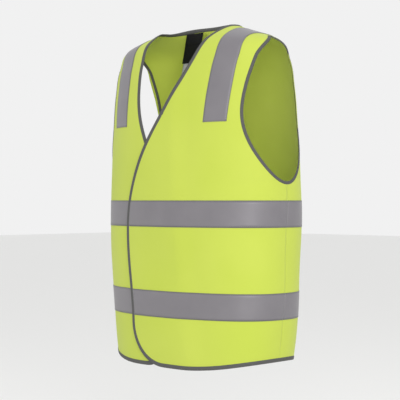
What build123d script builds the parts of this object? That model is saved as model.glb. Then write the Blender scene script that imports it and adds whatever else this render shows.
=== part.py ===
from build123d import *
import math
import os

# High visibility vest, worn shape. Millimetres, +Z up, the front faces -Y,
# the wearer's left is +X. The origin is the middle of the line between the
# two points where the shoulder seams reach the neck.

# ---- driving dimensions -------------------------------------------------
# Torso form: the surface that the inside of the fabric follows.
NECK_HALF_WIDTH = 94
COLLAR_DEPTH = 76
COLLAR_TOP = 30
SHOULDER_HALF_WIDTH = 184
SHOULDER_DROP = 33
CHEST_HALF_WIDTH = 214
CHEST_HALF_DEPTH = 120
HEM_HALF_WIDTH = 192
HEM_HALF_DEPTH = 116
BODY_LENGTH = 651
ARMHOLE_BOTTOM = 301
BODY_CENTRE_Y = 8
FORM_SQUARENESS = 2.5
SEAM_Y = 8

# Cloth, tape and binding.
FABRIC = 1.2
SKIN_GAP = 0.1
TAPE_THICKNESS = 0.6
TAPE_WIDTH = 50
BINDING_WIDTH = 7
BINDING_THICKNESS = 0.6
BINDING_LIP = 1

# Where the outlines run, seen from the front (x, z).
OVERLAP = 91
UNDER_EDGE_X = 5
CROSSING = (-35, -225)
COLLAR_RISE = 9
OVER_CORNER_RADIUS = 84
UNDER_CORNER_RADIUS = 36
SIDE_HEM_RISE = 20

# Armhole, seen from the side (y, z).
ARMHOLE_FRONT_Y = -69
ARMHOLE_BACK_Y = 72
ARMHOLE_CENTRE_Y = 2
ARMHOLE_BINDING = 4.5

# Tapes.
UPPER_TAPE_Z = -361
LOWER_TAPE_Z = -532
SHOULDER_TAPE_END = 191
SHOULDER_TAPE_TOP_X = 140
SHOULDER_TAPE_FRONT_X = 126
SHOULDER_TAPE_BACK_X = 143
SHOULDER_TAPE_WIDTH = 47

# Front flaps: the part of each front that folds open.
OVERLAP_GAP = 3.4
FOLD_GAP = 0.5
LEFT_FOLD_TOP = (60, -78)
LEFT_FOLD_BOTTOM_X = 108
RIGHT_FOLD_TOP = (-79, -78)
RIGHT_FOLD_BOTTOM_X = -115

# Hook and loop patches on the overlap.
PATCH_WIDTH = 24
PATCH_LENGTH = 44
PATCH_THICKNESS = 1.2
PATCH_X = -38
PATCH_CLEARANCE = 3

# Labels at the back of the neck.
NECK_LABEL_WIDTH = 46
NECK_LABEL_LENGTH = 58
CARE_LABEL_WIDTH = 42
CARE_LABEL_LENGTH = 88
LABEL_THICKNESS = 0.5
LABEL_GAP = 1.2
LABEL_CENTRE_X = -42
LABEL_LEAN = 14

# Reach of the cutting tools, well outside the vest.
FAR = 420
TOP = 160


# ---- torso form -----------------------------------------------------------
def stations():
    """Height, half width, half depth and centre of each level of the form."""
    width = CHEST_HALF_WIDTH - SHOULDER_HALF_WIDTH
    depth = CHEST_HALF_DEPTH
    centre = BODY_CENTRE_Y
    taper = CHEST_HALF_WIDTH - HEM_HALF_WIDTH
    shrink = CHEST_HALF_DEPTH - HEM_HALF_DEPTH
    reach = ARMHOLE_BOTTOM - SHOULDER_DROP
    return [
        (COLLAR_TOP, NECK_HALF_WIDTH - 32, 0.37 * depth, 0.6 * centre),
        (0, NECK_HALF_WIDTH, COLLAR_DEPTH / 2, 0.3 * centre),
        (-SHOULDER_DROP, SHOULDER_HALF_WIDTH, 0.60 * depth, 0.4 * centre),
        (-SHOULDER_DROP - 0.14 * reach, SHOULDER_HALF_WIDTH + 0.6 * width, 0.75 * depth, 0.6 * centre),
        (-SHOULDER_DROP - 0.33 * reach, SHOULDER_HALF_WIDTH + 0.8 * width, 0.86 * depth, 0.7 * centre),
        (-SHOULDER_DROP - 0.62 * reach, SHOULDER_HALF_WIDTH + 0.94 * width, 0.95 * depth, 0.85 * centre),
        (-ARMHOLE_BOTTOM, CHEST_HALF_WIDTH, depth, centre),
        (-ARMHOLE_BOTTOM - 110, CHEST_HALF_WIDTH, depth, centre),
        (-BODY_LENGTH + 120, CHEST_HALF_WIDTH - 0.35 * taper, depth - 0.1 * shrink, centre),
        (-BODY_LENGTH + 50, CHEST_HALF_WIDTH - 0.65 * taper, depth - 0.4 * shrink, centre),
        (-BODY_LENGTH - 8, HEM_HALF_WIDTH - 2, HEM_HALF_DEPTH, centre),
        (-BODY_LENGTH - 40, HEM_HALF_WIDTH - 8, HEM_HALF_DEPTH - 3, centre),
    ]


def section(z, half_width, half_depth, centre_y):
    """One horizontal section of the form, a squared-off oval."""
    points = []
    count = 28
    for k in range(count):
        t = math.pi / 2 + 2 * math.pi * k / count
        power = 2 / FORM_SQUARENESS
        x = math.copysign(abs(math.cos(t)) ** power, math.cos(t)) * half_width
        y = math.copysign(abs(math.sin(t)) ** power, math.sin(t)) * half_depth
        points.append(Vector(x, centre_y + y, z))
    return Wire([Edge.make_spline(points, periodic=True)])


forms = {}


def form(offset):
    """The form grown outwards by offset, and upwards where the shoulders slope."""
    if offset not in forms:
        wires = []
        for z, half_width, half_depth, centre_y in stations():
            lift = offset if z >= -SHOULDER_DROP else 0
            wires.append(section(z + lift, half_width + offset, half_depth + offset, centre_y))
        forms[offset] = Solid.make_loft(wires)
    return forms[offset]


shells = {}


def shell(inner, outer):
    """The skin between two offsets of the form."""
    if (inner, outer) not in shells:
        shells[(inner, outer)] = form(outer) - form(inner)
    return shells[(inner, outer)]


# ---- cutting tools --------------------------------------------------------
def seen_from_front(outline, front=True, back=True):
    """Extrudes an outline drawn in (x, z) through the front, the back or both."""
    low = -FAR if front else SEAM_Y
    high = FAR if back else SEAM_Y
    placed = Plane(origin=(0, high, 0), x_dir=(1, 0, 0), z_dir=(0, -1, 0)) * outline
    return extrude(placed, high - low, dir=(0, -1, 0))


def seen_from_side(outline, side):
    """Extrudes an outline drawn in (y, z) outwards through one side."""
    placed = Plane(origin=(0, 0, 0), x_dir=(0, 1, 0), z_dir=(1, 0, 0)) * outline
    return Pos(100 * side, 0, 0) * extrude(placed, FAR, dir=(side, 0, 0))


def box_between(low, high):
    size = [b - a for a, b in zip(low, high)]
    middle = [(a + b) / 2 for a, b in zip(low, high)]
    return Pos(*middle) * Box(*size)


def beside(points, amount):
    """The same line of points moved sideways, to the right of its direction when positive."""
    moved = []
    for k, point in enumerate(points):
        before = points[max(k - 1, 0)]
        after = points[min(k + 1, len(points) - 1)]
        dx, dz = after[0] - before[0], after[1] - before[1]
        length = math.hypot(dx, dz)
        moved.append((point[0] + amount * dz / length, point[1] - amount * dx / length))
    return moved


def hem_points():
    """The hem from one side to the other, with its ends raised at the side seams."""
    low = -BODY_LENGTH
    side = CHEST_HALF_WIDTH
    rise = SIDE_HEM_RISE
    half = [(0.5 * side, low + 0.06 * rise), (0.75 * side, low + 0.45 * rise), (side, low + rise)]
    left = [(-x, z) for x, z in reversed(half)]
    return left + [(0, low)] + half


def hem_region(lift=0):
    """Everything above the hem line."""
    points = [(x, z + lift) for x, z in hem_points()]
    curve = Spline(points)
    start, end = points[0], points[-1]
    rest = Polyline(end, (FAR, end[1]), (FAR, TOP), (-FAR, TOP), (-FAR, start[1]), start)
    return make_face(curve + rest)


def front_region(edge_points, corner_start, radius, side, margin=0):
    """A front's outline: its edge, its round lower corner, and its hem, less a margin."""
    low = -BODY_LENGTH + margin
    line = beside(edge_points + [corner_start], -side * margin)
    centre = (corner_start[0] + side * radius, corner_start[1])
    arc_radius = radius - margin
    line[-1] = (centre[0] - side * arc_radius, centre[1])
    half = math.sqrt(0.5) * arc_radius
    corner = ThreePointArc(line[-1], (centre[0] - side * half, centre[1] - half), (centre[0], low))
    edge = Spline(line, tangents=[(-side * 0.7, -1), (0, -1)])
    rest = Polyline((centre[0], low), (side * FAR, low), (side * FAR, TOP), (line[0][0], TOP), line[0])
    return make_face(edge + corner + rest)


def left_front_region(margin=0):
    edge = [
        (NECK_HALF_WIDTH + 2, 4),
        (0.585 * NECK_HALF_WIDTH, -78),
        CROSSING,
        (-0.87 * OVERLAP, -320),
        (-OVERLAP, -390),
    ]
    corner = (-0.77 * OVERLAP, OVER_CORNER_RADIUS - BODY_LENGTH)
    return front_region(edge, corner, OVER_CORNER_RADIUS, 1, margin)


def right_front_region(margin=0):
    edge = [
        (-NECK_HALF_WIDTH - 2, 4),
        (-0.8 * NECK_HALF_WIDTH, -78),
        (-0.61 * NECK_HALF_WIDTH, -177),
        CROSSING,
        (UNDER_EDGE_X - 12, -290),
        (UNDER_EDGE_X, -380),
    ]
    corner = (UNDER_EDGE_X, UNDER_CORNER_RADIUS - BODY_LENGTH)
    return front_region(edge, corner, UNDER_CORNER_RADIUS, -1, margin)


def back_region(margin=0):
    """Everything below the back of the neck and out along the shoulders."""
    half = NECK_HALF_WIDTH + 2 + margin
    low = -3 - margin / 2
    rise = COLLAR_RISE - margin
    shoulder = 0.6 * NECK_HALF_WIDTH
    curve = Spline([(-half, low), (-shoulder, rise - 1), (0, rise), (shoulder, rise - 1), (half, low)])
    floor = -2 * FAR
    right = [(half, low), (half, TOP), (FAR, TOP), (FAR, floor)]
    left = [(-FAR, floor), (-FAR, TOP), (-half, TOP), (-half, low)]
    rest = Polyline(*right, *left)
    return make_face(curve + rest)


def fold_x(top, bottom_x, z):
    share = (z - top[1]) / (-BODY_LENGTH - top[1])
    return top[0] + share * (bottom_x - top[0])


def beyond_fold(top, bottom_x, side, gap):
    """The side of a fold line away from the front edge, or the flap with side reversed."""
    low = -BODY_LENGTH - 60
    upper = (fold_x(top, bottom_x, TOP) + gap * side, TOP)
    lower = (fold_x(top, bottom_x, low) + gap * side, low)
    return make_face(Polyline(lower, upper, (side * FAR * 2, TOP), (side * FAR * 2, low), lower))


def armhole_half(edge_y, grow):
    """Half of the armhole, from its point on the shoulder down to its lowest point."""
    tip_z = 3 - SHOULDER_DROP
    line = [
        (ARMHOLE_CENTRE_Y, tip_z),
        (0.42 * edge_y, -0.17 * ARMHOLE_BOTTOM),
        (0.82 * edge_y, -0.36 * ARMHOLE_BOTTOM),
        (edge_y, -0.62 * ARMHOLE_BOTTOM),
        (0.68 * edge_y, -0.88 * ARMHOLE_BOTTOM),
        (ARMHOLE_CENTRE_Y, -ARMHOLE_BOTTOM),
    ]
    moved = beside(line, math.copysign(grow, -edge_y))
    moved[0] = (ARMHOLE_CENTRE_Y, tip_z + 0.5 * grow)
    moved[-1] = (ARMHOLE_CENTRE_Y, -ARMHOLE_BOTTOM - grow)
    return Spline(moved)


def armhole_outline(grow=0):
    """Pointed oval, its point at the shoulder."""
    return make_face(armhole_half(ARMHOLE_FRONT_Y, grow) + armhole_half(ARMHOLE_BACK_Y, grow))


def armholes(grow=0):
    outline = armhole_outline(grow)
    return [seen_from_side(outline, 1), seen_from_side(outline, -1)]


def tape_band(centre_z):
    half = TAPE_WIDTH / 2
    return box_between((-FAR, -FAR, centre_z - half), (FAR, FAR, centre_z + half))


def cut_all(shape, tools):
    for tool in tools:
        shape = shape - tool
    return shape


# ---- panels, bindings and tapes ---------------------------------------------
parts = {}
over = FABRIC + OVERLAP_GAP
tape_inner = FABRIC + SKIN_GAP
binding_skin = BINDING_THICKNESS + SKIN_GAP


def outline(region, margin, share=None):
    """A region above the hem, all its sewn edges drawn in by a margin."""
    face = region(margin) & hem_region(margin)
    return face & share if share else face


def panel(inner, region, share, front, back):
    """A fabric panel, whose edges end just inside the binding's fold."""
    body = shell(inner, inner + FABRIC)
    body = body & seen_from_front(outline(region, BINDING_LIP, share), front, back)
    return cut_all(body, armholes(BINDING_LIP))


def binding(inner, region, share, front, back):
    """A folded strip round an edge: a channel with the panel's edge inside it."""
    strip = outline(region, 0, share) - outline(region, BINDING_WIDTH)
    slot = outline(region, BINDING_LIP - SKIN_GAP)
    body = shell(inner - binding_skin, inner + FABRIC + binding_skin)
    body = body & seen_from_front(strip, front, back)
    groove = shell(inner - SKIN_GAP, inner + FABRIC + SKIN_GAP) & seen_from_front(slot, front, back)
    return body - groove


def tape(inner, region, share, centre_z, front, back):
    """Reflective tape sewn on the outside of a panel, between its bindings."""
    low = inner + tape_inner
    body = shell(low, low + TAPE_THICKNESS) & tape_band(centre_z)
    return body & seen_from_front(outline(region, BINDING_WIDTH + SKIN_GAP, share), front, back)


left_side = beyond_fold(LEFT_FOLD_TOP, LEFT_FOLD_BOTTOM_X, 1, FOLD_GAP)
left_flap = beyond_fold(LEFT_FOLD_TOP, LEFT_FOLD_BOTTOM_X, -1, FOLD_GAP)
right_side = beyond_fold(RIGHT_FOLD_TOP, RIGHT_FOLD_BOTTOM_X, -1, FOLD_GAP)
right_flap = beyond_fold(RIGHT_FOLD_TOP, RIGHT_FOLD_BOTTOM_X, 1, FOLD_GAP)

# Each front is one piece of cloth in two nodes: the side that stays put and
# the flap that folds open. The left flap lies over the right one.
fronts = [
    ("left_front_side", 0, left_front_region, left_side),
    ("right_front_side", 0, right_front_region, right_side),
    ("left_front_flap", over, left_front_region, left_flap),
    ("right_front_flap", 0, right_front_region, right_flap),
]
for name, inner, region, share in fronts:
    parts[name] = panel(inner, region, share, True, False)
    parts[name + "_upper_tape"] = tape(inner, region, share, UPPER_TAPE_Z, True, False)
    parts[name + "_lower_tape"] = tape(inner, region, share, LOWER_TAPE_Z, True, False)

parts["back_panel"] = panel(0, back_region, None, False, True)
parts["back_upper_tape"] = tape(0, back_region, None, UPPER_TAPE_Z, False, True)
parts["back_lower_tape"] = tape(0, back_region, None, LOWER_TAPE_Z, False, True)

# The flaps' own bindings run down the edge, round the corner and along the hem.
for name, inner, region, share in fronts[2:]:
    parts[name + "_binding"] = binding(inner, region, share, True, False)

# The rest of the binding: one strip round the neck and one round the hem.
still = binding(0, back_region, None, False, True)
for name, inner, region, share in fronts[:2]:
    still = still + binding(inner, region, share, True, False)
middle_z = -BODY_LENGTH / 2
parts["neck_binding"] = still & box_between((-FAR, -FAR, middle_z), (FAR, FAR, TOP))
parts["hem_binding"] = still & box_between((-FAR, -FAR, -BODY_LENGTH - 60), (FAR, FAR, middle_z))


# ---- armhole bindings ---------------------------------------------------------
ring = armhole_outline(ARMHOLE_BINDING) - armhole_outline()
slot = armhole_outline(ARMHOLE_BINDING * 3) - armhole_outline(BINDING_LIP - SKIN_GAP)
for name, side in (("left_armhole_binding", 1), ("right_armhole_binding", -1)):
    body = shell(-binding_skin, FABRIC + binding_skin) & seen_from_side(ring, side)
    groove = shell(-SKIN_GAP, FABRIC + SKIN_GAP) & seen_from_side(slot, side)
    parts[name] = body - groove


# ---- shoulder tapes -----------------------------------------------------------
def shoulder_tape(side):
    """One band over the shoulder, its front end drawn in towards the chest."""
    half = SHOULDER_TAPE_WIDTH / 2

    def band(end_x):
        corners = [
            (side * (SHOULDER_TAPE_TOP_X - half), TOP),
            (side * (SHOULDER_TAPE_TOP_X - half), 0),
            (side * (end_x - half), -SHOULDER_TAPE_END),
            (side * (end_x + half), -SHOULDER_TAPE_END),
            (side * (SHOULDER_TAPE_TOP_X + half), 0),
            (side * (SHOULDER_TAPE_TOP_X + half), TOP),
        ]
        return make_face(Polyline(*corners, corners[0]))

    body = shell(tape_inner, tape_inner + TAPE_THICKNESS)
    front = body & seen_from_front(band(SHOULDER_TAPE_FRONT_X), True, False)
    back = body & seen_from_front(band(SHOULDER_TAPE_BACK_X), False, True)
    return front + back


parts["left_shoulder_tape"] = shoulder_tape(1)
parts["right_shoulder_tape"] = shoulder_tape(-1)


# ---- hook and loop patches -----------------------------------------------------
def patches(inner):
    """Three patches down the overlap: above, between and below the two tapes."""
    body = shell(inner, inner + PATCH_THICKNESS)
    reach = TAPE_WIDTH / 2 + PATCH_CLEARANCE + PATCH_LENGTH / 2
    heights = (UPPER_TAPE_Z + reach, (UPPER_TAPE_Z + LOWER_TAPE_Z) / 2, LOWER_TAPE_Z - reach)
    pieces = []
    for z in heights:
        low = (PATCH_X - PATCH_WIDTH / 2, -FAR, z - PATCH_LENGTH / 2)
        high = (PATCH_X + PATCH_WIDTH / 2, 0, z + PATCH_LENGTH / 2)
        pieces += (body & box_between(low, high)).solids()
    return Compound(pieces)


parts["hook_patches"] = patches(over - SKIN_GAP - PATCH_THICKNESS)
parts["loop_patches"] = patches(tape_inner)


# ---- labels ----------------------------------------------------------------------
def label(width, length, back_y):
    """A flat label hanging from the neck seam, leaning a little to one side."""
    left = LABEL_CENTRE_X - width / 2
    right = LABEL_CENTRE_X + width / 2
    lean = LABEL_LEAN * length / NECK_LABEL_LENGTH
    corners = [(left, 0), (right, 0), (right - lean, -length), (left - lean, -length)]
    face = make_face(Polyline(*corners, corners[0]))
    placed = Plane(origin=(0, back_y, 0), x_dir=(1, 0, 0), z_dir=(0, -1, 0)) * face
    return extrude(placed, LABEL_THICKNESS, dir=(0, -1, 0))


collar_back_y = 0.3 * BODY_CENTRE_Y + COLLAR_DEPTH / 2
label_x_share = (abs(LABEL_CENTRE_X) + NECK_LABEL_WIDTH / 2) / NECK_HALF_WIDTH
curve_back = (COLLAR_DEPTH / 2) * (1 - (1 - label_x_share**FORM_SQUARENESS) ** (1 / FORM_SQUARENESS))
care_back_y = collar_back_y - curve_back - binding_skin - LABEL_GAP
parts["care_label"] = label(CARE_LABEL_WIDTH, CARE_LABEL_LENGTH, care_back_y)
parts["neck_label"] = label(NECK_LABEL_WIDTH, NECK_LABEL_LENGTH, care_back_y - LABEL_THICKNESS - LABEL_GAP)


# ---- write each node -----------------------------------------------------------
os.makedirs("parts", exist_ok=True)
for name, part in parts.items():
    export_step(Compound(part.solids()) if len(part.solids()) > 1 else part.solids()[0], f"parts/{name}.step")
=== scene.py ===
import math

import bpy
import numpy as np
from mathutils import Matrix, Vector


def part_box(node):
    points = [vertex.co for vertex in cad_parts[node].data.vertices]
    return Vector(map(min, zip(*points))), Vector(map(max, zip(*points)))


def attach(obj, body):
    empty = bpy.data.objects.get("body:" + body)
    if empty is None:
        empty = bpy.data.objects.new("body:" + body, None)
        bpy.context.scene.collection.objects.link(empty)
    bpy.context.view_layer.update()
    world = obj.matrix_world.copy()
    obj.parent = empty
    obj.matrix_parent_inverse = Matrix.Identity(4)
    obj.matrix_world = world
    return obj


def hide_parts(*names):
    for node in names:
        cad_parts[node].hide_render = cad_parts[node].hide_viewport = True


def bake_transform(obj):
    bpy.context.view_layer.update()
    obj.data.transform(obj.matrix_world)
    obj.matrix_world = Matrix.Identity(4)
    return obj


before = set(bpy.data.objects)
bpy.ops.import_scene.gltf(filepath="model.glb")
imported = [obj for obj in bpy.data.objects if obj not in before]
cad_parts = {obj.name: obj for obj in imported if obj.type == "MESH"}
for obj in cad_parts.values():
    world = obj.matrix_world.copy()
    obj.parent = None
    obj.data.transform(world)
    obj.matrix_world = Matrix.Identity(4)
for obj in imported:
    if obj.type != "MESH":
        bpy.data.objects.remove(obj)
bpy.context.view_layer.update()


# ---- camera -----------------------------------------------------------------
# A level camera at mid-height of the vest, off its left front corner, far
# enough away for the sides to keep their proportions.
camera_azimuth = math.radians(44)
camera_distance = 2.3
eye_level = -0.335
camera_data = bpy.data.cameras.new("camera")
camera_data.lens = 105
camera = bpy.data.objects.new("camera", camera_data)
camera.location = (
    camera_distance * math.sin(camera_azimuth),
    -camera_distance * math.cos(camera_azimuth),
    eye_level,
)
camera.rotation_euler = (math.pi / 2, 0, camera_azimuth)
bpy.context.collection.objects.link(camera)
bpy.context.scene.camera = camera
bpy.context.scene.view_settings.view_transform = "Standard"


# ---- studio -------------------------------------------------------------------
# A white floor below the hem, a soft white room, and three large lamps: one
# beside the camera, one on the wearer's right and one overhead.
def studio_lamp(name, place, aim, size, power):
    data = bpy.data.lights.new(name, "AREA")
    data.size = size
    data.energy = power
    lamp = bpy.data.objects.new(name, data)
    lamp.location = place
    away = Vector(place) - Vector(aim)
    lamp.rotation_euler = away.to_track_quat("Z", "Y").to_euler()
    bpy.context.collection.objects.link(lamp)


chest = (0, 0, -0.35)
studio_lamp("key_lamp", (1.9, -1.5, 0.3), chest, 1.2, 28)
studio_lamp("fill_lamp", (-2.2, -1.2, 0.1), chest, 2.2, 3)
studio_lamp("top_lamp", (0.3, 0.6, 2.0), chest, 2.4, 8)

room = bpy.data.worlds.new("room")
room.use_nodes = True
room.node_tree.nodes["Background"].inputs["Color"].default_value = (1, 1, 1, 1)
room.node_tree.nodes["Background"].inputs["Strength"].default_value = 0.88
bpy.context.scene.world = room

bpy.ops.mesh.primitive_plane_add(size=30, location=(0, 0, -0.95))
floor = bpy.context.object
floor.name = "floor"
floor_paint = bpy.data.materials.new("floor_paint")
floor_paint.use_nodes = True
floor_shader = floor_paint.node_tree.nodes["Principled BSDF"]
floor_shader.inputs["Base Color"].default_value = (0.86, 0.86, 0.85, 1)
floor_shader.inputs["Roughness"].default_value = 0.8
floor.data.materials.append(floor_paint)


# ---- back cloth ---------------------------------------------------------------
# The back is one piece of fluorescent warp-knitted polyester, cut with a
# shallow neck and two armholes, and joined to the fronts at the shoulder and
# side seams. It hangs on a chest whose level sections are squared-off ovals.
neck_half, collar_depth = 0.094, 0.076
shoulder_half, shoulder_drop = 0.184, 0.033
chest_half, chest_deep = 0.214, 0.120
hem_half, hem_deep = 0.192, 0.116
body_length, armhole_low = 0.651, 0.301
middle_y, squareness = 0.008, 2.5
collar_rise, side_hem_rise = 0.009, 0.020
cloth_middle, cloth_thick = 0.0006, 0.0009

spread, taper = chest_half - shoulder_half, chest_half - hem_half
shrink, reach = chest_deep - hem_deep, armhole_low - shoulder_drop
# Height, half width, half depth and middle of each level, from the hem up.
levels = np.array([
    (-body_length - 0.04, hem_half - 0.008, hem_deep - 0.003, middle_y),
    (-body_length - 0.008, hem_half - 0.002, hem_deep, middle_y),
    (-body_length + 0.05, chest_half - 0.65 * taper, chest_deep - 0.4 * shrink, middle_y),
    (-body_length + 0.12, chest_half - 0.35 * taper, chest_deep - 0.1 * shrink, middle_y),
    (-armhole_low - 0.11, chest_half, chest_deep, middle_y),
    (-armhole_low, chest_half, chest_deep, middle_y),
    (-shoulder_drop - 0.62 * reach, shoulder_half + 0.94 * spread, 0.95 * chest_deep, 0.85 * middle_y),
    (-shoulder_drop - 0.33 * reach, shoulder_half + 0.8 * spread, 0.86 * chest_deep, 0.7 * middle_y),
    (-shoulder_drop - 0.14 * reach, shoulder_half + 0.6 * spread, 0.75 * chest_deep, 0.6 * middle_y),
    (-shoulder_drop, shoulder_half, 0.6 * chest_deep, 0.4 * middle_y),
    (0, neck_half, collar_depth / 2, 0.3 * middle_y),
    (0.03, neck_half - 0.032, 0.37 * chest_deep, 0.6 * middle_y),
])
level_slopes = np.gradient(levels[:, 1:], levels[:, 0], axis=0)


def level_at(z):
    """Half width, half depth and middle of the section at a height."""
    heights = levels[:, 0]
    z = np.clip(z, heights[0], heights[-1])
    k = np.clip(np.searchsorted(heights, z) - 1, 0, len(heights) - 2)
    span = heights[k + 1] - heights[k]
    f = ((z - heights[k]) / span)[..., None]
    span = span[..., None]
    low, high = levels[k, 1:], levels[k + 1, 1:]
    out = (1 + 2 * f) * (1 - f) ** 2 * low + f * f * (3 - 2 * f) * high
    out += f * (1 - f) ** 2 * span * level_slopes[k] - f * f * (1 - f) * span * level_slopes[k + 1]
    return out[..., 0], out[..., 1], out[..., 2]


# Places round the body are counted in quarters: 0 is the wearer's left side,
# -1 the middle of the front, 1 the middle of the back, 2 the right side.
quarter_turns = np.linspace(0, math.pi / 2, 800)
quarter_x = chest_half * np.abs(np.cos(quarter_turns)) ** (2 / squareness)
quarter_y = chest_deep * np.abs(np.sin(quarter_turns)) ** (2 / squareness)
quarter_arc = np.concatenate([[0], np.cumsum(np.hypot(np.diff(quarter_x), np.diff(quarter_y)))])
quarter_share = quarter_arc / quarter_arc[-1]


def turn_at(s):
    s = (s + 2) % 4 - 2
    whole = np.abs(s)
    turn = np.interp(np.where(whole <= 1, whole, 2 - whole), quarter_share, quarter_turns)
    return np.copysign(np.where(whole <= 1, turn, math.pi - turn), s)


def ease(low, high, value):
    f = np.clip((value - low) / (high - low), 0, 1)
    return f * f * (3 - 2 * f)


def soft_folds(s, z):
    """How far the cloth stands off the body where it waves and pulls."""
    skirt = ease(-0.42, -0.62, z)
    side = np.cos(math.pi * s) ** 2
    waves = 0.0022 * skirt * np.sin(1.5 * math.pi * s + 0.9)
    pulls = 0.0010 * side * np.sin(34 * z + 1.5 * math.pi * s) * ease(-0.28, -0.36, z)
    chest_drag = 0.0011 * np.sin(2 * math.pi * s + 16 * z) * ease(-0.12, -0.2, z) * ease(-0.5, -0.4, z)
    return waves + pulls + chest_drag


def on_body(s, z, off):
    """Points and outward normals of the cloth at places round the body."""
    s, z = np.asarray(s, float), np.asarray(z, float)
    turn = turn_at(s)
    half_w, half_d, mid = level_at(z)
    step = 0.001
    up, down = level_at(z + step), level_at(z - step)
    slope_w, slope_d, slope_m = [(a - b) / (2 * step) for a, b in zip(up, down)]
    side = np.sign(np.cos(turn)) * np.abs(np.cos(turn)) ** (2 / squareness)
    face = np.sign(np.sin(turn)) * np.abs(np.sin(turn)) ** (2 / squareness)
    power = squareness - 1
    nx = np.sign(side) * np.abs(side) ** power / half_w
    ny = np.sign(face) * np.abs(face) ** power / half_d
    nz = -np.abs(side) ** squareness * slope_w / half_w - np.abs(face) ** squareness * slope_d / half_d
    nz = nz - ny * slope_m
    normal = np.stack([nx, ny, nz], -1)
    normal /= np.linalg.norm(normal, axis=-1, keepdims=True)
    place = np.stack([half_w * side, mid + half_d * face, z], -1)
    lift = off(s, z) if callable(off) else off
    return place + normal * (lift + soft_folds(s, z))[..., None], normal


def smooth_line(points, start=None, end=None, count=400):
    """A smooth curve through a few points, with its end directions if given."""
    p = np.array(points, float)
    h = np.linalg.norm(np.diff(p, axis=0), axis=1)
    n = len(p)
    grid, right = np.zeros((n, n)), np.zeros((n, 2))
    rise = np.diff(p, axis=0) / h[:, None]
    for k in range(1, n - 1):
        grid[k, k - 1 : k + 2] = h[k], 2 * (h[k - 1] + h[k]), h[k - 1]
        right[k] = 3 * (h[k] * rise[k - 1] + h[k - 1] * rise[k])
    for k, given, near in ((0, start, 1), (n - 1, end, n - 2)):
        if given is None:
            grid[k, k], grid[k, near] = 2, 1
            right[k] = 3 * rise[min(k, near)]
        else:
            grid[k, k] = 1
            right[k] = np.array(given) / np.linalg.norm(given)
    slope = np.linalg.solve(grid, right)
    along = np.concatenate([[0], np.cumsum(h)])
    at = np.linspace(0, along[-1], count)
    k = np.clip(np.searchsorted(along, at, side="right") - 1, 0, n - 2)
    f, span = ((at - along[k]) / h[k])[:, None], h[k][:, None]
    line = (1 + 2 * f) * (1 - f) ** 2 * p[k] + f * f * (3 - 2 * f) * p[k + 1]
    return line + f * (1 - f) ** 2 * span * slope[k] - f * f * (1 - f) * span * slope[k + 1]


def from_side_view(y, z):
    """Place round the left side of a point seen from the side."""
    _, half_d, mid = level_at(z)
    share = np.clip(np.abs(y - mid) / half_d, 0, 1)
    turn = np.arcsin(share ** (squareness / 2))
    return np.sign(y - mid) * np.interp(turn, quarter_turns, quarter_share)


def from_end_view(x, z, facing):
    """Place round the body of a point seen from the front (-1) or the back (1)."""
    half_w, _, _ = level_at(z)
    share = np.clip(np.abs(x) / half_w, 0, 1)
    turn = np.arccos(share ** (squareness / 2))
    quarter = np.interp(turn, quarter_turns, quarter_share)
    return facing * np.where(x >= 0, quarter, 2 - quarter)


def evenly(line, count=None, pitch=None):
    """The same line with its points at equal distances along the cloth."""
    place, _ = on_body(line[:, 0], line[:, 1], 0.0)
    along = np.concatenate([[0], np.cumsum(np.linalg.norm(np.diff(place, axis=0), axis=1))])
    count = count or max(int(along[-1] / pitch), 2)
    at = np.linspace(0, along[-1], count)
    return np.stack([np.interp(at, along, line[:, 0]), np.interp(at, along, line[:, 1])], 1)


def armhole_line(edge_y):
    """One half of the left armhole, from the shoulder point to its lowest point."""
    shares = [(0.002, -0.030), (0.42 * edge_y, -0.17 * armhole_low), (0.82 * edge_y, -0.36 * armhole_low)]
    shares += [(edge_y, -0.62 * armhole_low), (0.68 * edge_y, -0.88 * armhole_low), (0.002, -armhole_low)]
    line = smooth_line(shares, end=(math.copysign(1, -edge_y), 0))
    ends = 1 - np.sin(np.linspace(0, math.pi, len(line)))
    _, _, mid = level_at(line[:, 1])
    s = from_side_view(line[:, 0] + (mid - 0.002) * ends, line[:, 1])
    s[0] = s[-1] = 0
    return np.stack([s, line[:, 1]], 1)


hem_curve = smooth_line([
    (0, -body_length),
    (0.5 * chest_half, -body_length + 0.06 * side_hem_rise),
    (0.75 * chest_half, -body_length + 0.45 * side_hem_rise),
    (chest_half, -body_length + side_hem_rise),
], start=(1, 0))


def hem_line(first, last):
    """The hem between two places round the body, raised at the side seams."""
    s = np.linspace(first, last, 300)
    z = np.full(len(s), -body_length)
    for _ in range(5):
        x = np.abs(on_body(s, z, 0.0)[0][:, 0])
        z = np.interp(x, hem_curve[:, 0], hem_curve[:, 1])
    return np.stack([s, z], 1)


side_hem_z = hem_line(0, 0.1)[0, 1]
armhole_front_y, armhole_back_y = -0.069, 0.072
side_seam = np.stack([np.zeros(120), np.linspace(-armhole_low, side_hem_z, 120)], 1)
shoulder_seam = np.stack([np.zeros(40), np.linspace(0, -0.030, 40)], 1)


def patch(top, bottom, left, right, columns, rows):
    """Fills four border lines with a grid of places on the cloth."""
    top, bottom = evenly(top, columns), evenly(bottom, columns)
    left, right = evenly(left, rows), evenly(right, rows)
    u = np.linspace(0, 1, columns)[None, :, None]
    v = np.linspace(0, 1, rows)[:, None, None]
    sides = (1 - v) * top[None] + v * bottom[None] + (1 - u) * left[:, None] + u * right[:, None]
    corners = (1 - u) * (1 - v) * top[0] + u * (1 - v) * top[-1]
    return sides - corners - (1 - u) * v * bottom[0] - u * v * bottom[-1]


def pick(piece):
    """Makes a piece the only one selected."""
    for other in bpy.context.selected_objects:
        other.select_set(False)
    bpy.context.view_layer.objects.active = piece
    piece.select_set(True)


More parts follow.
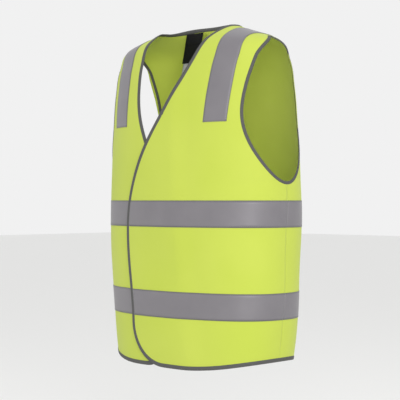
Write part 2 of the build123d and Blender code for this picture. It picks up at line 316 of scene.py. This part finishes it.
def cloth_mesh(name, places, off, thick, finish):
    """A sheet of cloth through a grid of places, with UVs in metres of cloth."""
    rows, columns = places.shape[:2]
    points, normals = on_body(places[..., 0], places[..., 1], off)
    quads = []
    for i in range(rows - 1):
        for j in range(columns - 1):
            a = i * columns + j
            quads.append((a, a + 1, a + columns + 1, a + columns))
    i, j = rows // 2, columns // 2
    facing = np.cross(points[i, j + 1] - points[i, j], points[i + 1, j] - points[i, j])
    if facing @ normals[i, j] < 0:
        quads = [q[::-1] for q in quads]
    mesh = bpy.data.meshes.new(name)
    mesh.from_pydata(points.reshape(-1, 3).tolist(), [], quads)
    across = np.linalg.norm(np.diff(points, axis=1, prepend=points[:, :1]), axis=-1).cumsum(1)
    down = np.linalg.norm(np.diff(points, axis=0, prepend=points[:1]), axis=-1).cumsum(0)
    flat = np.stack([across, down], -1).reshape(-1, 2)
    layer = mesh.uv_layers.new(name="cloth")
    corners = np.zeros(len(mesh.loops), int)
    mesh.loops.foreach_get("vertex_index", corners)
    layer.data.foreach_set("uv", flat[corners].ravel())
    piece = bpy.data.objects.new(name, mesh)
    bpy.context.collection.objects.link(piece)
    for face in mesh.polygons:
        face.use_smooth = True
    mesh.materials.append(finish)
    wall = piece.modifiers.new("thickness", "SOLIDIFY")
    wall.thickness, wall.offset = thick, 0
    pick(piece)
    bpy.ops.object.modifier_apply(modifier="thickness")
    diagonals = points[1:, 1:] - points[:-1, :-1], points[1:, :-1] - points[:-1, 1:]
    area = float(np.linalg.norm(np.cross(*diagonals), axis=-1).sum() / 2)
    return piece, area


def blank_finish(name, roughness):
    """A new finish: its nodes, its shader and its way of joining them up."""
    finish = bpy.data.materials.new(name)
    finish.use_nodes = True
    nodes, links = finish.node_tree.nodes, finish.node_tree.links
    shader = nodes["Principled BSDF"]
    shader.inputs["Roughness"].default_value = roughness
    return finish, nodes, links, shader


def raised(nodes, links, shader, height, depth, strength):
    bump = nodes.new("ShaderNodeBump")
    bump.inputs["Distance"].default_value = depth
    bump.inputs["Strength"].default_value = strength
    links.new(height, bump.inputs["Height"])
    links.new(bump.outputs["Normal"], shader.inputs["Normal"])


def two_tones(nodes, links, factor, first, second):
    mix = nodes.new("ShaderNodeMix")
    mix.data_type = "RGBA"
    mix.inputs["A"].default_value = (*first, 1)
    mix.inputs["B"].default_value = (*second, 1)
    links.new(factor, mix.inputs["Factor"])
    return mix.outputs["Result"]


def ribs(nodes, links, source, scale, direction, distortion=0.0):
    wave = nodes.new("ShaderNodeTexWave")
    wave.bands_direction = direction
    wave.inputs["Scale"].default_value = scale
    wave.inputs["Distortion"].default_value = distortion
    links.new(source, wave.inputs["Vector"])
    return wave.outputs["Fac"]


def grain(nodes, links, source, scale, detail=2.0):
    noise = nodes.new("ShaderNodeTexNoise")
    noise.inputs["Scale"].default_value = scale
    noise.inputs["Detail"].default_value = detail
    links.new(source, noise.inputs["Vector"])
    return noise.outputs["Fac"]


def worked(nodes, links, operation, a, b):
    node = nodes.new("ShaderNodeMath")
    node.operation = operation
    for socket, value in zip(node.inputs, (a, b)):
        if isinstance(value, float):
            socket.default_value = value
        else:
            links.new(value, socket)
    return node.outputs[0]


knit, nodes, links, shader = blank_finish("fluorescent_knit", 0.78)
coordinates = nodes.new("ShaderNodeTexCoord")
wales = ribs(nodes, links, coordinates.outputs["UV"], 250, "X", 0.4)
courses = ribs(nodes, links, coordinates.outputs["UV"], 190, "Y", 0.4)
loops = worked(nodes, links, "MULTIPLY", wales, courses)
dye = grain(nodes, links, coordinates.outputs["Object"], 7.0)
dyed = two_tones(nodes, links, dye, (0.462, 0.560, 0.060), (0.525, 0.600, 0.096))
# Painted shade: the knit's colour is darkened along its loop pattern, in place of the shade between the
# loops.
shade = nodes.new("ShaderNodeMix")
shade.data_type, shade.blend_type = "RGBA", "MULTIPLY"
links.new(worked(nodes, links, "MULTIPLY", loops, 0.22), shade.inputs["Factor"])
links.new(dyed, shade.inputs["A"])
shade.inputs["B"].default_value = (0.80, 0.88, 0.55, 1)
links.new(shade.outputs["Result"], shader.inputs["Base Color"])
shader.inputs["Sheen Weight"].default_value = 0.12
shader.inputs["Sheen Roughness"].default_value = 0.5
shader.inputs["Specular IOR Level"].default_value = 0.25
raised(nodes, links, shader, loops, 0.00025, 0.5)

# The neck of the back dips between the two points where the seams reach it.
back_neck = smooth_line([
    (neck_half, 0),
    (0.6 * neck_half, collar_rise - 0.001),
    (0, collar_rise),
    (-0.6 * neck_half, collar_rise - 0.001),
    (-neck_half, 0),
])
back_neck = np.stack([from_end_view(back_neck[:, 0], back_neck[:, 1], 1), back_neck[:, 1]], 1)


back_armhole = armhole_line(armhole_back_y)
front_armhole = armhole_line(armhole_front_y)
left_border = np.concatenate([back_armhole, side_seam[1:]])
back_top = np.concatenate([
    shoulder_seam[::-1],
    back_neck[1:-1],
    np.stack([2 - shoulder_seam[:, 0], shoulder_seam[:, 1]], 1),
])
back_places = patch(
    back_top, hem_line(0, 2), left_border, np.stack([2 - left_border[:, 0], left_border[:, 1]], 1), 150, 150
)
back_cloth, back_area = cloth_mesh("back_cloth", back_places, cloth_middle, cloth_thick, knit)
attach(back_cloth, "vest_body")
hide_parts("back_panel")


# ---- front cloths ---------------------------------------------------------------
# Each front is one piece of the same knit, with a slanting neck edge that laps
# past the middle and a rounded lower corner. The left front closes over the
# right one, so its cloth stands a little further out where they overlap.
over_lift = 0.0046
corner_steps = np.linspace(0, math.pi / 2, 60)[1:]


def front_edge(points, corner, radius):
    """A front's free edge as places on the cloth, down and round its corner."""
    line = smooth_line(points + [corner], start=(-0.7, -1), end=(0, -1))
    arc = np.stack([
        corner[0] + radius * (1 - np.cos(corner_steps)),
        corner[1] - radius * np.sin(corner_steps),
    ], 1)
    line = np.concatenate([line, arc])
    s = from_end_view(line[:, 0], line[:, 1], -1)
    s[0] = 0
    return np.stack([s, line[:, 1]], 1)


overlap = 0.091
left_corner_radius, right_corner_radius = 0.084, 0.036
left_edge = front_edge(
    [(neck_half, 0), (0.585 * neck_half, -0.078), (-0.035, -0.225), (-0.87 * overlap, -0.320),
     (-overlap, -0.390)],
    (-0.77 * overlap, left_corner_radius - body_length),
    left_corner_radius,
)
right_edge = front_edge(
    [(neck_half, 0), (0.8 * neck_half, -0.078), (0.61 * neck_half, -0.177), (0.035, -0.225), (0.007, -0.290),
     (-0.005, -0.380)],
    (-0.005, right_corner_radius - body_length),
    right_corner_radius,
)

# The fold that each front opens on, as a top point and a bottom x.
folds = {
    "left": ((0.060, -0.078), 0.108, 1),
    "right": ((-0.079, -0.078), -0.115, -1),
}
fold_reach = 0.016


def fold_ends(side_name):
    """The two points between which a front turns from fixed cloth to flap."""
    (top_x, top_z), low_x, side = folds[side_name]
    run = np.array([low_x - top_x, 0, -body_length - top_z])
    run /= np.linalg.norm(run)
    out = np.array([-run[2], 0, run[0]]) * side
    out *= np.sign(out[0]) * side
    at = np.array([top_x, -0.10, top_z])
    return at + out * fold_reach, at - out * fold_reach


def left_lift(s, z):
    """The left front: against the body at its side, over the right one in front."""
    (top_x, top_z), low_x, _ = folds["left"]
    fold_x = top_x + (z - top_z) / (-body_length - top_z) * (low_x - top_x)
    half_w, _, _ = level_at(z)
    turn = turn_at(s)
    x = half_w * np.sign(np.cos(turn)) * np.abs(np.cos(turn)) ** (2 / squareness)
    return cloth_middle + over_lift * ease(-0.004, 0.046, fold_x - x)


def hang_front(piece, side_name):
    """Bakes a front piece's placement into its mesh; the ends of its fold are found but not used."""
    start, end = fold_ends(side_name)
    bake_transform(piece)


front_lifts = {"left": left_lift, "right": cloth_middle}
front_edges = {"left": left_edge, "right": right_edge}
fronts, front_areas = {}, {}
for side_name in ("left", "right"):
    edge = front_edges[side_name]
    border = np.concatenate([front_armhole, side_seam[1:]])
    places = patch(shoulder_seam, hem_line(edge[-1, 0], 0), edge, border, 96, 150)
    if side_name == "right":
        places[..., 0] = -2 - places[..., 0]
    piece, front_areas[side_name] = cloth_mesh(
        side_name + "_front_cloth", places, front_lifts[side_name], cloth_thick, knit
    )
    hang_front(piece, side_name)
    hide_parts(side_name + "_front_side", side_name + "_front_flap")
    fronts[side_name] = piece


# ---- reflective tapes round the body ---------------------------------------------
# Two bands of glass-bead tape on a grey backing, 50 mm wide, sewn flat on the
# outside of the knit from each front's binding to its side seam, and across the back.
tape_width, tape_thick, tape_off = 0.050, 0.0005, 0.00085
tape_heights = {"upper": -0.361, "lower": -0.532}
binding_width = 0.007

tape_finish, nodes, links, shader = blank_finish("glass_bead_tape", 0.46)
coordinates = nodes.new("ShaderNodeTexCoord")
beads = grain(nodes, links, coordinates.outputs["UV"], 1400.0, 3.0)
rubbed = grain(nodes, links, coordinates.outputs["Object"], 22.0)
bead_grey = two_tones(nodes, links, rubbed, (0.165, 0.155, 0.170), (0.205, 0.194, 0.208))
across_tape = nodes.new("ShaderNodeSeparateXYZ")
links.new(coordinates.outputs["UV"], across_tape.inputs["Vector"])
from_middle = worked(nodes, links, "SUBTRACT", across_tape.outputs["Y"], tape_width / 2)
from_middle = worked(nodes, links, "ABSOLUTE", from_middle, 0.0)
at_edge = worked(nodes, links, "GREATER_THAN", from_middle, tape_width / 2 - 0.0016)
edged = nodes.new("ShaderNodeMix")
edged.data_type = "RGBA"
links.new(worked(nodes, links, "MULTIPLY", at_edge, 0.55), edged.inputs["Factor"])
links.new(bead_grey, edged.inputs["A"])
edged.inputs["B"].default_value = (0.09, 0.09, 0.10, 1)
links.new(edged.outputs["Result"], shader.inputs["Base Color"])
shader.inputs["Metallic"].default_value = 0.15
shader.inputs["Sheen Weight"].default_value = 0.1
raised(nodes, links, shader, beads, 0.00008, 0.35)


def shifted_in(line, amount, turned=1):
    """A border line moved into the cloth, at right angles to itself."""
    s, z = line[:, 0], line[:, 1]
    ds, dz = 1e-3, 5e-4
    along_s = (on_body(s + ds, z, 0.0)[0] - on_body(s - ds, z, 0.0)[0]) / (2 * ds)
    along_z = (on_body(s, z + dz, 0.0)[0] - on_body(s, z - dz, 0.0)[0]) / (2 * dz)
    point, normal = on_body(s, z, 0.0)
    heading = np.gradient(point, axis=0)
    heading /= np.linalg.norm(heading, axis=-1, keepdims=True)
    inward = np.cross(normal, heading) * turned
    ss, zz = (along_s * along_s).sum(-1), (along_z * along_z).sum(-1)
    sz = (along_s * along_z).sum(-1)
    to_s, to_z = (along_s * inward).sum(-1), (along_z * inward).sum(-1)
    det = ss * zz - sz * sz
    return np.stack([
        s + amount * (to_s * zz - to_z * sz) / det,
        z + amount * (to_z * ss - to_s * sz) / det,
    ], 1)


def lifted(off, more):
    """A lift with a little more added, whether it is even or changes by place."""
    return (lambda s, z: off(s, z) + more) if callable(off) else off + more


def band_mesh(name, middle_z, first, last, off, columns):
    """A level band of tape between two places at each height."""
    z = np.linspace(middle_z + tape_width / 2, middle_z - tape_width / 2, 9)
    u = np.linspace(0, 1, columns)[None]
    s = first(z)[:, None] * (1 - u) + last(z)[:, None] * u
    places = np.stack([s, np.repeat(z[:, None], columns, 1)], -1)
    return cloth_mesh(name, places, lifted(off, tape_off), tape_thick, tape_finish)[0]


tapes = {"left": [], "right": [], "back": []}
for level_name, middle_z in tape_heights.items():
    for side_name in ("left", "right"):
        bound = shifted_in(evenly(front_edges[side_name], 300), binding_width, turned=1)

        def edge_at(z, bound=bound):
            order = np.argsort(bound[:, 1])
            return np.interp(z, bound[order, 1], bound[order, 0])

        if side_name == "left":
            first, last = edge_at, lambda z: 0 * z
        else:
            first, last = lambda z, f=edge_at: -2 - f(z), lambda z: 0 * z - 2
        name = f"{side_name}_front_{level_name}_tape"
        piece = band_mesh(name, middle_z, first, last, front_lifts[side_name], 90)
        hang_front(piece, side_name)
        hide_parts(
            f"{side_name}_front_side_{level_name}_tape", f"{side_name}_front_flap_{level_name}_tape"
        )
        tapes[side_name].append(piece)
    piece = band_mesh(
        f"back_{level_name}_band", middle_z, lambda z: 0 * z, lambda z: 0 * z + 2, cloth_middle, 140
    )
    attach(piece, "vest_body")
    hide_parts(f"back_{level_name}_tape")
    tapes["back"].append(piece)


# ---- shoulder tapes ---------------------------------------------------------------
# One band of the same tape over each shoulder, sewn over the shoulder seam,
# its front end drawn in a little towards the chest.
shoulder_tape_width, shoulder_tape_end = 0.047, 0.191
tape_top_x, tape_front_x, tape_back_x = 0.140, 0.126, 0.143
seam_z = np.linspace(-shoulder_drop, 0, 200)
seam_x = level_at(seam_z)[0]


def shoulder_band(side):
    """The band's places, from its front end over the seam to its back end."""
    rows, columns = 60, 11
    across = np.linspace(-0.5, 0.5, columns) * shoulder_tape_width
    places = np.zeros((2 * rows - 1, columns, 2))
    for j, beside in enumerate(across):
        top_z = np.interp(tape_top_x + beside, seam_x[::-1], seam_z[::-1])
        z = -shoulder_tape_end + (top_z + shoulder_tape_end) * np.sin(np.linspace(0, math.pi / 2, rows))
        down = z / -shoulder_tape_end
        for facing, end_x in ((-1, tape_front_x), (1, tape_back_x)):
            x = tape_top_x + beside + (end_x - tape_top_x) * down
            s = from_end_view(x, z, facing)
            s[-1] = 0
            if facing < 0:
                places[:rows, j] = np.stack([s, z], 1)
            else:
                places[rows - 1 :, j] = np.stack([s, z], 1)[::-1]
    if side < 0:
        places[..., 0] = -2 - places[..., 0]
    return np.transpose(places, (1, 0, 2))


for side_name, side in (("left", 1), ("right", -1)):
    piece, _ = cloth_mesh(
        side_name + "_shoulder_band", shoulder_band(side), cloth_middle + tape_off, tape_thick, tape_finish
    )
    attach(piece, "vest_body")
    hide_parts(side_name + "_shoulder_tape")


# ---- bindings ----------------------------------------------------------------------
# Every raw edge is wrapped in a dark grey woven strip, folded over it and sewn
# through both faces: the neck and fronts, the hem, and each armhole.
binding_finish, nodes, links, shader = blank_finish("woven_binding", 0.72)
coordinates = nodes.new("ShaderNodeTexCoord")
picks = ribs(nodes, links, coordinates.outputs["UV"], 330, "X", 0.5)
ends = ribs(nodes, links, coordinates.outputs["UV"], 420, "Y", 0.5)
weave = worked(nodes, links, "MAXIMUM", picks, ends)
woven = two_tones(nodes, links, weave, (0.046, 0.046, 0.045), (0.088, 0.088, 0.085))
links.new(woven, shader.inputs["Base Color"])
raised(nodes, links, shader, weave, 0.00015, 0.5)


def wrap_section(width):
    """The folded strip across its edge: distance into the cloth, and height."""
    over = cloth_thick / 2
    outer = [(width, over), (width - 0.0003, over + 0.0005), (0.55 * width, over + 0.0007)]
    outer += [(0.0008, over + 0.0006), (-0.0004, over + 0.0002), (-0.0008, 0.0)]
    return outer + [(r, -n) for r, n in outer[-2::-1]]


def face_outwards(piece):
    """Turns a closed piece's faces to point out."""
    pick(piece)
    bpy.ops.object.mode_set(mode="EDIT")
    bpy.ops.mesh.select_all(action="SELECT")
    bpy.ops.mesh.normals_make_consistent(inside=False)
    bpy.ops.object.mode_set(mode="OBJECT")


def strip_mesh(name, line, section, off, turned, finish, closed=False, pitch=0.003):
    """A section carried along a line on the cloth."""
    line = evenly(line, pitch=pitch)
    if closed:
        line = line[:-1]
    rings = [
        on_body(*shifted_in(line, r, turned=turned).T, lifted(off, n))[0] for r, n in section
    ]
    rings = np.stack(rings, 1)
    steps, sides = rings.shape[:2]
    quads, uv = [], []
    along = np.linalg.norm(np.diff(rings[:, 0], axis=0, prepend=rings[:1, 0]), axis=-1).cumsum()
    around = np.linspace(0, 0.02, sides + 1)
    for i in range(steps if closed else steps - 1):
        k = (i + 1) % steps
        end = along[k] if k else along[-1] + pitch
        for j in range(sides):
            m = (j + 1) % sides
            quads.append((i * sides + j, k * sides + j, k * sides + m, i * sides + m))
            uv += [(along[i], around[j]), (end, around[j]), (end, around[j + 1]), (along[i], around[j + 1])]
    if not closed:
        quads.append(tuple(range(sides)))
        quads.append(tuple((steps - 1) * sides + j for j in reversed(range(sides))))
        uv += [(0.0, 0.0)] * (2 * sides)
    mesh = bpy.data.meshes.new(name)
    mesh.from_pydata(rings.reshape(-1, 3).tolist(), [], quads)
    mesh.uv_layers.new(name="cloth").data.foreach_set("uv", np.array(uv, float).ravel())
    for face in mesh.polygons:
        face.use_smooth = True
    mesh.materials.append(finish)
    piece = bpy.data.objects.new(name, mesh)
    bpy.context.collection.objects.link(piece)
    face_outwards(piece)
    return piece


bindings = {"left": [], "right": [], "back": []}
front_lines = {}
for side_name in ("left", "right"):
    edge = front_edges[side_name]
    line = np.concatenate([edge, hem_line(edge[-1, 0], 0)[1:]])
    if side_name == "right":
        line = np.stack([-2 - line[:, 0], line[:, 1]], 1)
    front_lines[side_name] = line
    piece = strip_mesh(
        side_name + "_front_binding", line, wrap_section(binding_width), front_lifts[side_name],
        1 if side_name == "left" else -1, binding_finish,
    )
    hang_front(piece, side_name)
    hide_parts(side_name + "_front_flap_binding")
    bindings[side_name].append(piece)

for name, line, turned, node in (
    ("back_neck_binding", back_neck, -1, "neck_binding"),
    ("back_hem_binding", hem_line(0, 2), 1, "hem_binding"),
):
    piece = strip_mesh(name, line, wrap_section(binding_width), cloth_middle, turned, binding_finish)
    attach(piece, "vest_body")
    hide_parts(node)
    bindings["back"].append(piece)

armhole_width = 0.0052
armhole_loop = np.concatenate([front_armhole, back_armhole[-2::-1]])
armhole_lines = {
    "left": armhole_loop,
    "right": np.stack([-2 - armhole_loop[:, 0], armhole_loop[:, 1]], 1),
}
for side_name, line in armhole_lines.items():
    node = side_name + "_armhole_binding"
    turned = -1 if side_name == "left" else 1
    piece = strip_mesh(
        side_name + "_armhole_wrap", line, wrap_section(armhole_width), cloth_middle, turned,
        binding_finish, closed=True,
    )
    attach(piece, "vest_body")
    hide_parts(node)
    bindings["back"].append(piece)


# ---- seams ---------------------------------------------------------------------------
# The fronts are overlocked to the back at the shoulders and down the sides,
# which leaves a low ridge along each join.
ridge = [(-0.0013, 0.0), (-0.0007, 0.00075), (0.0007, 0.00075)]
ridge += [(0.0013, 0.0), (0.0007, -0.0011), (-0.0007, -0.0011)]
for side_name, round_s in (("left", 0.0), ("right", -2.0)):
    for part_name, seam in (("side", side_seam), ("shoulder", shoulder_seam)):
        line = np.stack([seam[:, 0] + round_s, seam[:, 1]], 1)
        piece = strip_mesh(f"{side_name}_{part_name}_seam", line[1:-1], ridge, cloth_middle, 1, knit)
        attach(piece, "vest_body")
        bindings["back"].append(piece)


# ---- stitches --------------------------------------------------------------------------
# Lock stitches in spun thread: along both edges of every tape, and along the
# inner edge of every binding. Each is a small lozenge that dips at its ends.
thread_finish, nodes, links, shader = blank_finish("spun_thread", 0.7)
coordinates = nodes.new("ShaderNodeTexCoord")
plies = grain(nodes, links, coordinates.outputs["Object"], 900.0)
spun = two_tones(nodes, links, plies, (0.085, 0.085, 0.088), (0.15, 0.15, 0.155))
links.new(spun, shader.inputs["Base Color"])
raised(nodes, links, shader, plies, 0.0001, 0.4)

stitch_pitch, stitch_long, stitch_half, stitch_high = 0.0034, 0.0026, 0.00022, 0.00022


def stitch_rows(name, lines, off):
    """Rows of stitches along lines on the cloth, as one piece."""
    points, faces = [], []
    for line in lines:
        line = evenly(line, pitch=stitch_pitch)
        at, normal = on_body(line[:, 0], line[:, 1], off)
        heading = np.gradient(at, axis=0)
        heading /= np.linalg.norm(heading, axis=-1, keepdims=True)
        beside = np.cross(normal, heading)
        for p, n, h, b in zip(at, normal, heading, beside):
            first = len(points)
            points.append(p - h * stitch_long / 2 - n * 0.0001)
            for share in (-0.22, 0.22):
                centre = p + h * stitch_long * share
                points += [centre + b * stitch_half, centre + n * stitch_high]
                points += [centre - b * stitch_half, centre - n * stitch_high]
            points.append(p + h * stitch_long / 2 - n * 0.0001)
            for k in range(4):
                m = (k + 1) % 4
                faces.append((first, first + 1 + m, first + 1 + k))
                faces.append((first + 1 + k, first + 1 + m, first + 5 + m, first + 5 + k))
                faces.append((first + 5 + k, first + 5 + m, first + 9))
    mesh = bpy.data.meshes.new(name)
    mesh.from_pydata([tuple(p) for p in points], [], faces)
    mesh.materials.append(thread_finish)
    piece = bpy.data.objects.new(name, mesh)
    bpy.context.collection.objects.link(piece)
    face_outwards(piece)
    return piece


def level_row(first, last, z):
    s = np.linspace(first, last, 300)
    return np.stack([s, np.full(300, z)], 1)


on_tape = tape_off + tape_thick / 2
on_binding = cloth_thick / 2 + 0.0007
edge_rows = [h + d * (tape_width / 2 - 0.0025) for h in tape_heights.values() for d in (1, -1)]
for side_name in ("left", "right"):
    bound = shifted_in(evenly(front_edges[side_name], 300), binding_width + 0.001)
    order = np.argsort(bound[:, 1])
    rows = []
    for z in edge_rows:
        start_s = np.interp(z, bound[order, 1], bound[order, 0])
        row = level_row(start_s, -0.005, z)
        rows.append(row if side_name == "left" else np.stack([-2 - row[:, 0], row[:, 1]], 1))
    piece = stitch_rows(side_name + "_front_tape_stitches", rows, lifted(front_lifts[side_name], on_tape))
    hang_front(piece, side_name)
    tapes[side_name].append(piece)
    turned = 1 if side_name == "left" else -1
    row = shifted_in(evenly(front_lines[side_name], 500), binding_width - 0.0018, turned=turned)
    piece = stitch_rows(
        side_name + "_front_binding_stitches", [row], lifted(front_lifts[side_name], on_binding)
    )
    hang_front(piece, side_name)
    bindings[side_name].append(piece)

still_rows = [level_row(0.005, 1.995, z) for z in edge_rows]
back_tape_stitches = stitch_rows("back_tape_stitches", still_rows, cloth_middle + on_tape)
shoulder_rows = []
for side in (1, -1):
    places = shoulder_band(side)
    for near, far in ((0, 1), (-1, -2)):
        shoulder_rows.append(places[near] * 0.5 + places[far] * 0.5)
shoulder_tape_stitches = stitch_rows("shoulder_tape_stitches", shoulder_rows, cloth_middle + on_tape)
border_rows = [
    shifted_in(evenly(back_neck, 300), binding_width - 0.0018, turned=-1),
    shifted_in(evenly(hem_line(0, 2), 400), binding_width - 0.0018, turned=1),
]
for side_name, line in armhole_lines.items():
    turned = -1 if side_name == "left" else 1
    border_rows.append(shifted_in(evenly(line, 400), armhole_width - 0.0016, turned=turned))
back_binding_stitches = stitch_rows("back_binding_stitches", border_rows, cloth_middle + on_binding)
for piece in (back_tape_stitches, shoulder_tape_stitches, back_binding_stitches):
    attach(piece, "vest_body")
    bindings["back"].append(piece)


# ---- hook and loop patches --------------------------------------------------------------
# Three pairs of touch-fastener patches hold the fronts closed: stiff hooks
# inside the left front, soft loop pile outside the right one, sewn on all round.
patch_wide, patch_long, patch_x = 0.024, 0.044, -0.038
patch_heights = (-0.311, -0.4465, -0.582)


def fastener_finish(name, first, second, scale, roughness, depth):
    finish, nodes, links, shader = blank_finish(name, roughness)
    coordinates = nodes.new("ShaderNodeTexCoord")
    pile = grain(nodes, links, coordinates.outputs["Object"], scale, 4.0)
    links.new(two_tones(nodes, links, pile, first, second), shader.inputs["Base Color"])
    raised(nodes, links, shader, pile, depth, 0.8)
    return finish


hook_finish = fastener_finish(
    "moulded_hooks", (0.035, 0.035, 0.037), (0.085, 0.085, 0.09), 1100.0, 0.42, 0.0003
)
loop_finish = fastener_finish("loop_pile", (0.06, 0.06, 0.062), (0.14, 0.14, 0.145), 700.0, 0.95, 0.0006)


def patch_set(name, off, thick, finish, outward, crown):
    """Three pads on the cloth, with their tops crowned and their edges thin."""
    parts = []
    u = np.linspace(-0.5, 0.5, 13)
    v = np.linspace(-0.5, 0.5, 31)
    rise = (1 - np.abs(2 * u[None]) ** 8) * (1 - np.abs(2 * v[:, None]) ** 14)
    for number, middle in enumerate(patch_heights):
        x = patch_x + patch_wide * u[None] + 0 * v[:, None]
        z = middle + patch_long * v[:, None] + 0 * u[None]
        places = np.stack([from_end_view(x, z, -1), z], -1)
        piece, _ = cloth_mesh(
            f"{name}_{number}", places, lambda s, z, r=rise: off + outward * crown * r, thick, finish
        )
        parts.append(piece)
    for other in bpy.context.selected_objects:
        other.select_set(False)
    for piece in parts:
        piece.select_set(True)
    bpy.context.view_layer.objects.active = parts[0]
    bpy.ops.object.join()
    joined = bpy.context.object
    joined.name = name
    return joined


hooks = patch_set("hook_pads", cloth_middle + over_lift - 0.0010, 0.0006, hook_finish, -1, 0.0003)
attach(hooks, "left_flap")
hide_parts("hook_patches")
loops_piece = patch_set("loop_pads", cloth_middle + 0.0009, 0.0006, loop_finish, 1, 0.0004)
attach(loops_piece, "right_flap")
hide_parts("loop_patches")


# ---- labels --------------------------------------------------------------------------------
# Two blank labels sewn into the back of the neck: a black satin one with a
# small tab over it, and a longer pale grey care label behind it.
def satin(name, first, second, roughness, shine):
    finish, nodes, links, shader = blank_finish(name, roughness)
    coordinates = nodes.new("ShaderNodeTexCoord")
    floats = ribs(nodes, links, coordinates.outputs["UV"], 380, "DIAGONAL", 0.6)
    links.new(two_tones(nodes, links, floats, first, second), shader.inputs["Base Color"])
    shader.inputs["Specular IOR Level"].default_value = shine
    raised(nodes, links, shader, floats, 0.0001, 0.4)
    return finish


black_satin = satin("black_satin", (0.003, 0.003, 0.003), (0.009, 0.009, 0.010), 0.55, 0.12)
grey_satin = satin("grey_satin", (0.36, 0.36, 0.38), (0.52, 0.52, 0.54), 0.6, 0.3)


label_lean, neck_label_long = 0.014, 0.058


def hanging_label(name, node, top_share, low_share, forward, thick, finish):
    """A flat label that hangs from the neck seam, leaning, with a slight curl."""
    low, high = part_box(node)
    middle = (low[1] + high[1]) / 2 - forward
    tall = high[2] - low[2]
    lean = label_lean * tall / neck_label_long
    wide = high[0] - low[0] - lean
    rows, columns = 22, 12
    points = []
    for i in range(rows):
        down = top_share + (low_share - top_share) * i / (rows - 1)
        for j in range(columns):
            across = j / (columns - 1)
            curl = 0.00035 * math.sin(math.pi * across) * down
            points.append((low[0] + lean * (1 - down) + wide * across, middle - curl, high[2] - tall * down))
    quads = []
    for i in range(rows - 1):
        for j in range(columns - 1):
            a = i * columns + j
            quads.append((a, a + columns, a + columns + 1, a + 1))
    mesh = bpy.data.meshes.new(name)
    mesh.from_pydata(points, [], quads)
    layer = mesh.uv_layers.new(name="cloth")
    for loop in mesh.loops:
        x, _, z = points[loop.vertex_index]
        layer.data[loop.index].uv = (x - low[0], z - low[2])
    for face in mesh.polygons:
        face.use_smooth = True
    mesh.materials.append(finish)
    piece = bpy.data.objects.new(name, mesh)
    bpy.context.collection.objects.link(piece)
    wall = piece.modifiers.new("thickness", "SOLIDIFY")
    wall.thickness, wall.offset = thick, 0
    pick(piece)
    bpy.ops.object.modifier_apply(modifier="thickness")
    return piece


neck_label = hanging_label("neck_label_satin", "neck_label", 0, 1, 0, 0.0004, black_satin)
neck_tab = hanging_label("neck_label_tab", "neck_label", 0, 0.36, 0.0006, 0.0003, black_satin)
care_label = hanging_label("care_label_satin", "care_label", 0, 1, 0, 0.0003, grey_satin)
for piece, body in ((neck_label, "neck_label"), (neck_tab, "neck_label"), (care_label, "care_label")):
    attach(piece, body)
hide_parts("neck_label")
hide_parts("care_label")
